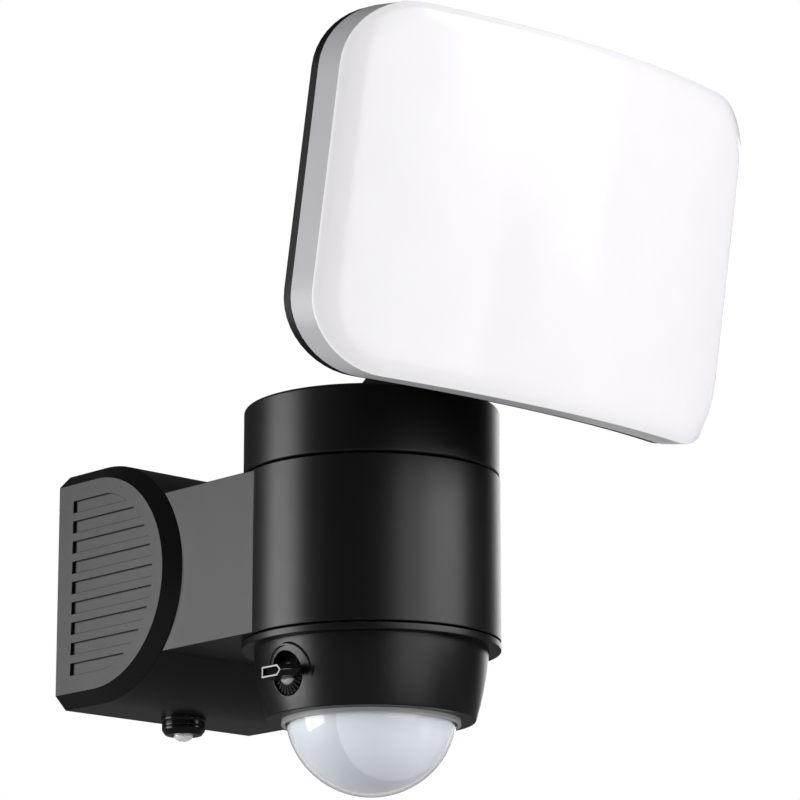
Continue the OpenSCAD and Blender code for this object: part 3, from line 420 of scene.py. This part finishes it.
def make_back_shell():
    """Black back with a rounded edge and a groove behind the diffuser."""
    seam, soft, wall, lip, chamfer = 0.45 * MM, 1.3 * MM, 2.4 * MM, 0.3 * MM, 0.25 * MM
    inner, middle, outer = 6 * MM, 3 * MM, 1.2 * MM
    start = DIFFUSER_DEPTH + seam
    loops = [inset_loop(inner, SHELL_BACK - wall, k) for k in reversed(SHRINK)]
    loops += [
        inset_loop(inner, SHELL_BACK - wall), inset_loop(middle, SHELL_BACK - wall),
        inset_loop(middle, DIFFUSER_DEPTH), inset_loop(outer, DIFFUSER_DEPTH),
        inset_loop(outer, start), inset_loop(lip + chamfer, start),
        inset_loop(lip, start + chamfer),
    ]
    for turn in arc_steps(0, 90, 6):
        inset = lip + soft * (1 - math.cos(turn))
        loops.append(inset_loop(inset, SHELL_BACK - soft + soft * math.sin(turn)))
    loops.append(inset_loop(SLOPE_W, SHELL_BACK))
    loops += [inset_loop(SLOPE_W, SHELL_BACK, k) for k in SHRINK]
    shape = bmesh.new()
    loft(shape, loops)
    shell = piece("lamp_back", shape, "lamp", "black_shell")
    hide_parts("back_shell")


RIB_COUNT, RIB_FIRST, RIB_PITCH = 5, 50 * MM, 8 * MM
RIB_HALF_W, RIB_HALF_H, RIB_HEIGHT = 0.9 * MM, 42 * MM, 4 * MM


def make_ribs():
    """Cooling ribs on both sides of the rear cover, with rounded roots and tops."""
    root, top = SHELL_BACK - 0.5 * MM, SHELL_BACK + RIB_HEIGHT
    # depth, and how far the outline is grown there in mm
    stages = (
        (root, 0.5), (root + 0.5 * MM, 0.5), (root + 1.2 * MM, 0.1),
        (top - 0.6 * MM, 0), (top - 0.18 * MM, -0.18), (top, -0.6),
    )
    shape = bmesh.new()
    for side in (-1, 1):
        for i in range(RIB_COUNT):
            x = side * (RIB_FIRST + i * RIB_PITCH)
            loops = []
            for depth, grow in stages:
                w, h = RIB_HALF_W + grow * MM, RIB_HALF_H + grow * MM
                ring = rounded_rect(w, h, min(w, h) * 0.95, 3, 1, 1)
                loops.append(
                    [lamp_frame @ Vector((x + px, depth + bow_at(x), pz)) for px, pz in ring])
            loft(shape, loops)
    piece("cooling_ribs", shape, "lamp", "black_shell")


SHELL_SCREWS = ((-81, -51), (81, -51), (-81, 51), (81, 51), (0, 51))  # x and z in mm
SHELL_SCREW_HEAD_R = 2.8 * MM


def make_screw_seats():
    """Flat round seats under the heads of the shell screws."""
    seat_r, soft, root = 3.8 * MM, 0.25 * MM, 2 * MM
    shape = bmesh.new()
    for x, z in SHELL_SCREWS:
        x, z = x * MM, z * MM
        seat = SHELL_BACK + bow_at(abs(x) + SHELL_SCREW_HEAD_R)
        loops = []
        for depth, r in ((seat - root, seat_r), (seat - soft, seat_r), (seat, seat_r - soft)):
            loops.append([
                lamp_frame @ Vector((x + r * math.cos(turn), depth, z + r * math.sin(turn)))
                for turn in turn_steps(40)
            ])
        loft(shape, loops)
    piece("screw_seats", shape, "lamp", "black_shell")


COVER_W = 84 * MM
COVER_LOW, COVER_HIGH = -50.6 * MM, 16 * MM
COVER_BACK = 42.2 * MM
COVER_CORNER = 9 * MM


def make_rear_cover():
    """Driver cover on the lamp's back: drafted sides and a rounded rear edge."""
    soft, draft, flat = 2.2 * MM, 0.6 * MM, 4 * MM
    half_w, half_h = COVER_W / 2, (COVER_HIGH - COVER_LOW) / 2

    def cover_loop(inset, depth, scale=1, bowed=False):
        middle_z = (COVER_HIGH + COVER_LOW) / 2
        return lamp_loop(
            half_w - inset, half_h - inset, COVER_CORNER - inset, depth, scale, middle_z, bowed)

    loops = [
        cover_loop(0, SHELL_BACK - 0.3 * MM, bowed=True),
        cover_loop(0, SHELL_BACK + 3 * MM, bowed=True),
    ]
    for turn in arc_steps(0, 90, 6):
        inset = draft + soft * (1 - math.cos(turn))
        loops.append(cover_loop(inset, COVER_BACK - soft + soft * math.sin(turn)))
    loops += [cover_loop(flat, COVER_BACK, k) for k in (1, 0.8, 0.5, 0.2)]
    shape = bmesh.new()
    loft(shape, loops)
    cover = piece("driver_cover", shape, "lamp", "black_shell")
    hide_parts("rear_cover")


make_diffuser()
make_back_shell()
make_ribs()
make_screw_seats()
make_rear_cover()

# ---------- dome ----------

AXIS = Vector((0, -116 * MM, 0))  # of the round body
DOME_CENTRE = AXIS + Vector((0, 0, -52.2 * MM))
DOME_R = 29.8 * MM
SCREEN_R = 28.5 * MM
DOME_SKIRT = 1.5 * MM
LENS_REACH = 51                   # half the lens zone's opening angle, in degrees
LENS_SOFT = 0.4                   # how much less it is outside, so that the edge slants
LENS_AZIMUTH, LENS_ELEVATION = -15, -13
LENS_THICK, LENS_SUNK = 0.22 * MM, 0.05 * MM
LENS_TOP = 1.3 * MM               # the lens zone ends this far above the dome's centre


def make_dome(name, node, outer, wall, slot_name):
    """A thin hemisphere with a short straight skirt above it."""
    inner = outer - wall
    outline = [(outer, DOME_SKIRT)]
    outline += [(outer * math.cos(t), -outer * math.sin(t)) for t in arc_steps(0, 90, 40)]
    outline += [(inner * math.cos(t), -inner * math.sin(t)) for t in arc_steps(90, 0, 40)]
    outline.append((inner, DOME_SKIRT))
    shape = bmesh.new()
    lathe(shape, outline, DOME_CENTRE, 128)
    dome = piece(name, shape, "sensor_head", slot_name)
    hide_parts(node)


def make_front_lens():
    """The round lens zone that faces forward, a thin cap just outside the milky screen, drawn lighter than the
    dome as a painted reflection of the front light.
    """
    outer, inner = SCREEN_R + LENS_THICK, SCREEN_R - LENS_SUNK
    outside, inside = arc_steps(0, LENS_REACH - LENS_SOFT, 32), arc_steps(LENS_REACH, 0, 32)
    outline = [(outer * math.sin(t), outer * math.cos(t)) for t in outside]
    outline += [(inner * math.sin(t), inner * math.cos(t)) for t in inside]
    shape = bmesh.new()
    lathe(shape, outline, (0, 0, 0), 96)
    place = Matrix.Translation(DOME_CENTRE)
    place @= Matrix.Rotation(math.radians(LENS_AZIMUTH), 4, "Z")
    place @= Matrix.Rotation(math.radians(90 - LENS_ELEVATION), 4, "X")
    bmesh.ops.transform(shape, matrix=place, verts=shape.verts)
    gone = [vert for vert in shape.verts if vert.co.z > DOME_CENTRE.z + LENS_TOP]
    bmesh.ops.delete(shape, geom=gone, context="VERTS")
    lens_piece = piece("front_lens", shape, "sensor_head", "milky_dome")
    # the lighter colour is a painted reflection
    lens_piece.data.materials[0] = MATERIALS["lens_zone"]


make_front_lens()
make_dome("dome_skin", "dome_lens", DOME_R, 0.9 * MM, "clear_dome")
make_dome("dome_diffuser", "dome_screen", SCREEN_R, 0.8 * MM, "milky_dome")

# ---------- knobs ----------
# The outlines are in mm: out from the recess's mouth, and y and z from the knob's axis.

KNOB_Z = -43.7 * MM
KNOB_MOUTH = 39.09 * MM
KNOB_TEETH = 24
# radius, out, and half the height of the teeth
SKIRT_ROWS = (
    (3.0, -0.85, 0.0), (3.4, -0.95, 0.08), (5.0, -1.5, 0.26), (6.8, -2.15, 0.42),
    (7.1, -2.5, 0.3), (7.1, -3.1, 0.1),
)
SKIRT_RIM_FROM = 6.9              # outside this radius the teeth also push the rim in and out
TOOTH_WAVE = (-1, 0, 1, 0)
LIT_FLANK = (0.25, 0.5)           # the part of each tooth's pitch that is painted lighter as a highlight on its lit flank
HUB_OUTLINE = ((0, -1.0), (2.8, -1.0), (2.8, -0.45), (0, -0.3))
GRIP_HALF = 2.1 * MM
# where the grip's back, shoulders and tip lie along y, from its foot to its top
STEM = (5.0, -4.2, -5.2)
HEAD_FOOT = (5.2, -8.4, -11.0)
HEAD_RISE = (5.2, -8.2, -10.7)
HEAD_TOP = (5.0, -3.2, -5.1)
RISE_OUT, TOP_OUT, GRIP_OUT = 3.1, 6.3, 6.5
# out, outline, and how much smaller it is drawn
GRIP_STAGES = (
    (-1.2, STEM, 0), (1.6, STEM, 0), (1.75, HEAD_FOOT, 0.15), (1.95, HEAD_FOOT, 0),
    (2.9, HEAD_FOOT, 0), (RISE_OUT, HEAD_RISE, 0.12), (TOP_OUT, HEAD_TOP, 0),
    (GRIP_OUT, HEAD_TOP, 0.2), (GRIP_OUT, HEAD_TOP, 0.75),
)
POCKET_FLOOR, POCKET_INSET, POCKET_LEAN = 5.0, 0.85, 0.12
# a painted highlight along the grip's ridge
RIDGE_HIGHLIGHT_LINE = ((6.25, 0.24), (5.6, 0.22), (4.9, 0.14), (4.4, 0.03))  # out and half width


def knob_point(side, out, y, z):
    """A point of a knob, in metres: out is from the recess's mouth, y and z from its axis."""
    return Vector((side * (KNOB_MOUTH + out), AXIS.y + y, KNOB_Z + z))


def make_skirt(side, name, body):
    """The serrated disc, with one flank of each tooth painted lighter as a highlight."""
    loops = []
    for radius, out, tooth in SKIRT_ROWS:
        loop = []
        for i, turn in enumerate(turn_steps(4 * KNOB_TEETH)):
            wave = TOOTH_WAVE[i % 4] * tooth * MM
            r = radius * MM + (wave / 2 if radius > SKIRT_RIM_FROM else 0)
            loop.append(knob_point(side, out * MM + wave, r * math.cos(turn), r * math.sin(turn)))
        loops.append(loop)
    shape = bmesh.new()
    loft(shape, loops)
    disc = piece(name + "_skirt", shape, body, "black_gloss", sharp=25)
    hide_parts(name)
    disc.data.materials.append(MATERIALS["knob_ridge"])
    low, high = LIT_FLANK
    for face in disc.data.polygons:
        turn = math.atan2(face.center.z - KNOB_Z, face.center.y - AXIS.y)
        along = turn / (2 * math.pi) * KNOB_TEETH % 1
        if len(face.vertices) == 4 and low < along < high:
            face.material_index = 1


def make_hub(side, name, body):
    """The light round hub in the middle of the disc."""
    outline = fillet(HUB_OUTLINE, [0.02, 0.25], 4)
    loops = []
    for turn in turn_steps(64):
        c, s = math.cos(turn) * MM, math.sin(turn) * MM
        loops.append([knob_point(side, p.y * MM, p.x * c, p.x * s) for p in outline])
    shape = bmesh.new()
    loft(shape, loops, closed=True)
    piece(name + "_hub", shape, body, "grey_ring")


def grip_outline(corners, inset):
    """The five (y, z) corners of the pointed grip in metres, drawn smaller by inset."""
    back, shoulder, tip = (corner * MM for corner in corners)
    inset *= MM
    half = GRIP_HALF - inset
    return [
        (back - inset, -half), (back - inset, half), (shoulder + inset * 0.6, half),
        (tip + inset * 1.2, 0), (shoulder + inset * 0.6, -half),
    ]


def make_grip(side, name, body):
    """The pointed grip, with a raised rim painted light as a highlight round a dark pocket."""
    loops = [
        [knob_point(side, out * MM, y, z) for y, z in grip_outline(corners, inset)]
        for out, corners, inset in GRIP_STAGES
    ]
    # the pocket's floor leans a little towards the point
    loops.append([
        knob_point(side, POCKET_FLOOR * MM + y * POCKET_LEAN, y, z)
        for y, z in grip_outline(HEAD_TOP, POCKET_INSET)
    ])
    shape = bmesh.new()
    loft(shape, loops)
    block = piece(name + "_grip", shape, body, "black_gloss", sharp=24)
    # the rim's light grey is a painted highlight
    block.data.materials.append(MATERIALS["light_rim"])
    block.data.materials.append(MATERIALS["gasket_rubber"])
    rim_x = KNOB_MOUTH + (GRIP_OUT - 0.05) * MM
    # the last faces: the pocket's floor, its walls but for the rear one, and the hidden foot
    dark_faces = 6
    for face in block.data.polygons:
        corners = [block.data.vertices[v].co for v in face.vertices]
        if all(abs(corner.x) > rim_x for corner in corners):
            face.material_index = 1
        elif face.index >= len(block.data.polygons) - dark_faces:
            face.material_index = 2


def make_ridge_highlight(side, name, body):
    """A painted highlight: a light line down the slanted front edge of the grip."""
    slant = (HEAD_RISE[2] - HEAD_TOP[2]) / (TOP_OUT - RISE_OUT)
    loops = []
    for out, width in RIDGE_HIGHLIGHT_LINE:
        tip = HEAD_TOP[2] + (TOP_OUT - out) * slant
        loops.append([
            knob_point(side, (out + rise) * MM, tip * MM, across * MM)
            for rise, across in ((-0.45, -width), (0.16, 0), (-0.45, width))
        ])
    shape = bmesh.new()
    loft(shape, loops)
    piece(name + "_ridge", shape, body, "grey_ring")


# ---------- the knobs' scales on the sensor housing ----------

CONE_TOP, CONE_BOTTOM = -31.8 * MM, -56 * MM
CONE_TOP_R, CONE_BOTTOM_R = 40.7 * MM, 36.1 * MM
CONE_BOW = 115 * MM
STRIP_LIFT, STRIP_ROOT = 0.05 * MM, -0.15 * MM
# in mm: radius, the middle's shift along y, start and end in degrees, half width
SCALE_ARCS = ((9.2, 0, 12, 96, 0.34), (10.1, -1.2, 84, 176, 0.46))
TICK = ((-11.2, -2.1), (-11.9, -0.5), (-12.5, 1.1))
TICK_HALF_W = 0.42


def cone_radius(z):
    """Radius of the bowed sensor housing at a height."""
    height = CONE_TOP - CONE_BOTTOM
    chord = math.hypot(height, CONE_TOP_R - CONE_BOTTOM_R)
    lean = math.atan2(CONE_TOP_R - CONE_BOTTOM_R, height)
    reach = math.sqrt(CONE_BOW ** 2 - (chord / 2) ** 2)
    centre_r = (CONE_TOP_R + CONE_BOTTOM_R) / 2 - reach * math.cos(lean)
    centre_z = (CONE_TOP + CONE_BOTTOM) / 2 + reach * math.sin(lean)
    return centre_r + math.sqrt(CONE_BOW ** 2 - (z - centre_z) ** 2)


def on_cone(side, y, z, lift):
    """A point lifted a little off the sensor housing; y and z are from the knob's axis."""
    radius = cone_radius(KNOB_Z + z) + lift
    return Vector((side * math.sqrt(radius ** 2 - y ** 2), AXIS.y + y, KNOB_Z + z))


def strip(shape, side, points, half_w):
    """A thin flat line laid on the sensor housing along (y, z) points, narrower at its ends."""
    last = len(points) - 1
    loops = []
    for i, (y, z) in enumerate(points):
        along = (Vector(points[min(i + 1, last)]) - Vector(points[max(i - 1, 0)])).normalized()
        w = half_w * min(1, 0.35 + 3 * min(i, last - i) / len(points))
        corners = ((-w, STRIP_ROOT), (-w, STRIP_LIFT), (w, STRIP_LIFT), (w, STRIP_ROOT))
        loops.append([on_cone(side, y - along.y * a, z + along.x * a, lift) for a, lift in corners])
    loft(shape, loops)


def make_scale(side, name):
    """Turning range around a knob: a thin arc that widens to the front, and a tick at its end."""
    shape = bmesh.new()
    for radius, shift, start, end, half_w in SCALE_ARCS:
        arc = [
            ((shift + radius * math.cos(t)) * MM, radius * math.sin(t) * MM)
            for t in arc_steps(start, end, 24)
        ]
        strip(shape, side, arc, half_w * MM)
    strip(shape, side, [(y * MM, z * MM) for y, z in TICK], TICK_HALF_W * MM)
    piece(name, shape, "sensor_head", "gasket_rubber")


for side, word in ((-1, "left"), (1, "right")):
    knob, knob_body = "knob_" + word, word + "_knob"
    make_skirt(side, knob, knob_body)
    make_hub(side, knob, knob_body)
    make_grip(side, knob, knob_body)
    make_ridge_highlight(side, knob, knob_body)
    make_scale(side, word + "_scale")

# ---------- collar of the fixing screw ----------

COLLAR_TOP = -43 * MM
# radius and height in mm: a foot in the bracket, two grooves, a chamfer and the screw's pocket
COLLAR_OUTLINE = (
    (1.9, 0.4), (7.4, 0.4), (7.4, -0.5), (6.7, -0.6), (6.7, -0.9), (7.0, -1.0), (7.0, -2.6),
    (6.7, -2.7), (6.7, -3.0), (7.0, -3.1), (7.0, -3.9), (6.1, -5.2), (4.7, -5.2), (4.6, -3.7),
    (1.9, -3.7),
)
COLLAR_SOFT = 0.1


def make_collar():
    """Stepped collar under the bracket, with two thin grooves."""
    corners = [COLLAR_OUTLINE[-1], *COLLAR_OUTLINE, COLLAR_OUTLINE[0]]
    outline = fillet(corners, [COLLAR_SOFT] * len(COLLAR_OUTLINE), 3)[1:-1]
    centre = (0, joint_place["fixing_screw_turn"].y, COLLAR_TOP)
    shape = bmesh.new()
    lathe(shape, [(p.x * MM, p.y * MM) for p in outline], centre, 96)
    collar = piece("fixing_collar", shape, "base", "black_gloss", sharp=40)
    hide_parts("screw_collar")


make_collar()

# ---------- surroundings ----------

WHITE_BACKDROP, SOFT_AMBIENT, DARK_ROOM = 1.0, 0.25, 0.05
world = bpy.data.worlds.new("studio")
scene.world = world
world.use_nodes = True
world.cycles.sampling_method = "NONE"
sky = world.node_tree
background = sky.nodes["Background"]
background.inputs["Strength"].default_value = 1.0
paths = sky.nodes.new("ShaderNodeLightPath")
# white behind the object and through the clear dome, dim for diffuse light, dark in reflections
seen = join_signals(
    sky, "MAXIMUM", paths.outputs["Is Camera Ray"], paths.outputs["Is Transmission Ray"])
room = mix_colour(sky, paths.outputs["Is Diffuse Ray"], DARK_ROOM, SOFT_AMBIENT)
shade = mix_colour(sky, seen, DARK_ROOM, WHITE_BACKDROP)
sky.links.new(room, shade.node.inputs["A"])
sky.links.new(shade, background.inputs["Color"])

# ---------- light ----------

LIGHT_TARGET = Vector((0, -0.12, 0.03))
# azimuth and elevation in degrees; distance, width and height in metres; strength
SOFTBOXES = {
    "left_softbox": (-127, -3, 1.6, 0.95, 1.15, 4.9),
    "front_softbox_low": (0.5, -10.5, 1.6, 1.2, 0.83, 1.3),
    "front_softbox": (12.5, 22, 1.6, 2.04, 1.04, 1.6),
    "front_softbox_core": (27, 22, 1.65, 1.07, 1.07, 2.0),
    "right_softbox": (118, 12, 1.6, 0.9, 0.5, 2.6),
    "top_softbox": (35, 60, 1.5, 1.5, 1.5, 0.2),
}


def direction(azimuth, elevation):
    """The way from the object to a place around it. Azimuth 0 is in front, on the -Y side."""
    a, e = math.radians(azimuth), math.radians(elevation)
    return Vector((math.sin(a) * math.cos(e), -math.cos(a) * math.cos(e), math.sin(e)))


def softbox(name, azimuth, elevation, distance, width, height, strength):
    """An area light that faces the object."""
    light = bpy.data.lights.new(name, "AREA")
    light.shape = "RECTANGLE"
    light.size, light.size_y = width, height
    light.energy = strength * width * height * math.pi
    box = bpy.data.objects.new(name, light)
    scene.collection.objects.link(box)
    away = direction(azimuth, elevation)
    box.location = LIGHT_TARGET + away * distance
    box.rotation_mode = "QUATERNION"
    box.rotation_quaternion = away.to_track_quat("Z", "Y")
    box.visible_camera = False


for name, numbers in SOFTBOXES.items():
    softbox(name, *numbers)

# ---------- floor ----------

FLOOR_SIZE, FLOOR_Z = 8, -0.55
FLOOR_GREY, MIRRORED_GREY = 0.8, 0.13
FLOOR_LIGHT_STRENGTH = 2.3
FLOOR_LIGHT_SPREAD = math.radians(50)
FLOOR_LIGHT_TILT = (math.radians(12), math.radians(-10), 0)
floor_mesh = bpy.data.meshes.new("floor")
floor_shape = bmesh.new()
bmesh.ops.create_grid(floor_shape, x_segments=2, y_segments=2, size=FLOOR_SIZE)
floor_shape.to_mesh(floor_mesh)
floor_shape.free()
floor = bpy.data.objects.new("floor", floor_mesh)
floor.location.z = FLOOR_Z
scene.collection.objects.link(floor)
floor_paint, floor_tree, floor_shader = new_material("floor_paint", FLOOR_GREY, 0.7)
add_bump(floor_tree, floor_shader, noise(floor_tree, 800, 2), GRAIN_STRENGTH, 0.01 * MM)
# the glossy black plastic mirrors a darker floor than the one that is seen
rays = floor_tree.nodes.new("ShaderNodeLightPath").outputs
mirrored = join_signals(floor_tree, "SUBTRACT", rays["Is Glossy Ray"], rays["Is Transmission Ray"])
floor_colour = mix_colour(floor_tree, mirrored, FLOOR_GREY, MIRRORED_GREY)
floor_tree.links.new(floor_colour, floor_shader.inputs["Base Color"])
floor.data.materials.append(floor_paint)


def link_to_floor(light, state):
    """Lets a light fall only on the floor (INCLUDE) or on everything but it (EXCLUDE)."""
    receivers = bpy.data.collections.new(light.name + "_receivers")
    receivers.objects.link(floor)
    receivers.collection_objects[0].light_linking.link_state = state
    light.light_linking.receiver_collection = receivers


for name in SOFTBOXES:
    link_to_floor(scene.objects[name], "EXCLUDE")
floor_light = bpy.data.objects.new("floor_light", bpy.data.lights.new("floor_light", "SUN"))
floor_light.data.energy = FLOOR_LIGHT_STRENGTH
floor_light.data.angle = FLOOR_LIGHT_SPREAD
floor_light.rotation_euler = FLOOR_LIGHT_TILT
scene.collection.objects.link(floor_light)
link_to_floor(floor_light, "INCLUDE")

# ---------- camera ----------

CAMERA_AZIMUTH, CAMERA_ELEVATION = -42.449, -13.891
CAMERA_PLACE = Vector((-886.4, -1099.7, -269.4)) * MM
FOCAL_LENGTH, SENSOR_WIDTH = 174.7, 36
lens = bpy.data.cameras.new("camera")
lens.lens = FOCAL_LENGTH
lens.sensor_width = SENSOR_WIDTH
lens.clip_end = 20
camera = bpy.data.objects.new("camera", lens)
camera.location = CAMERA_PLACE
camera.rotation_mode = "QUATERNION"
view_way = -direction(CAMERA_AZIMUTH, CAMERA_ELEVATION)
camera.rotation_quaternion = view_way.to_track_quat("-Z", "Y")
scene.collection.objects.link(camera)
scene.camera = camera
scene.view_settings.view_transform = "Standard"
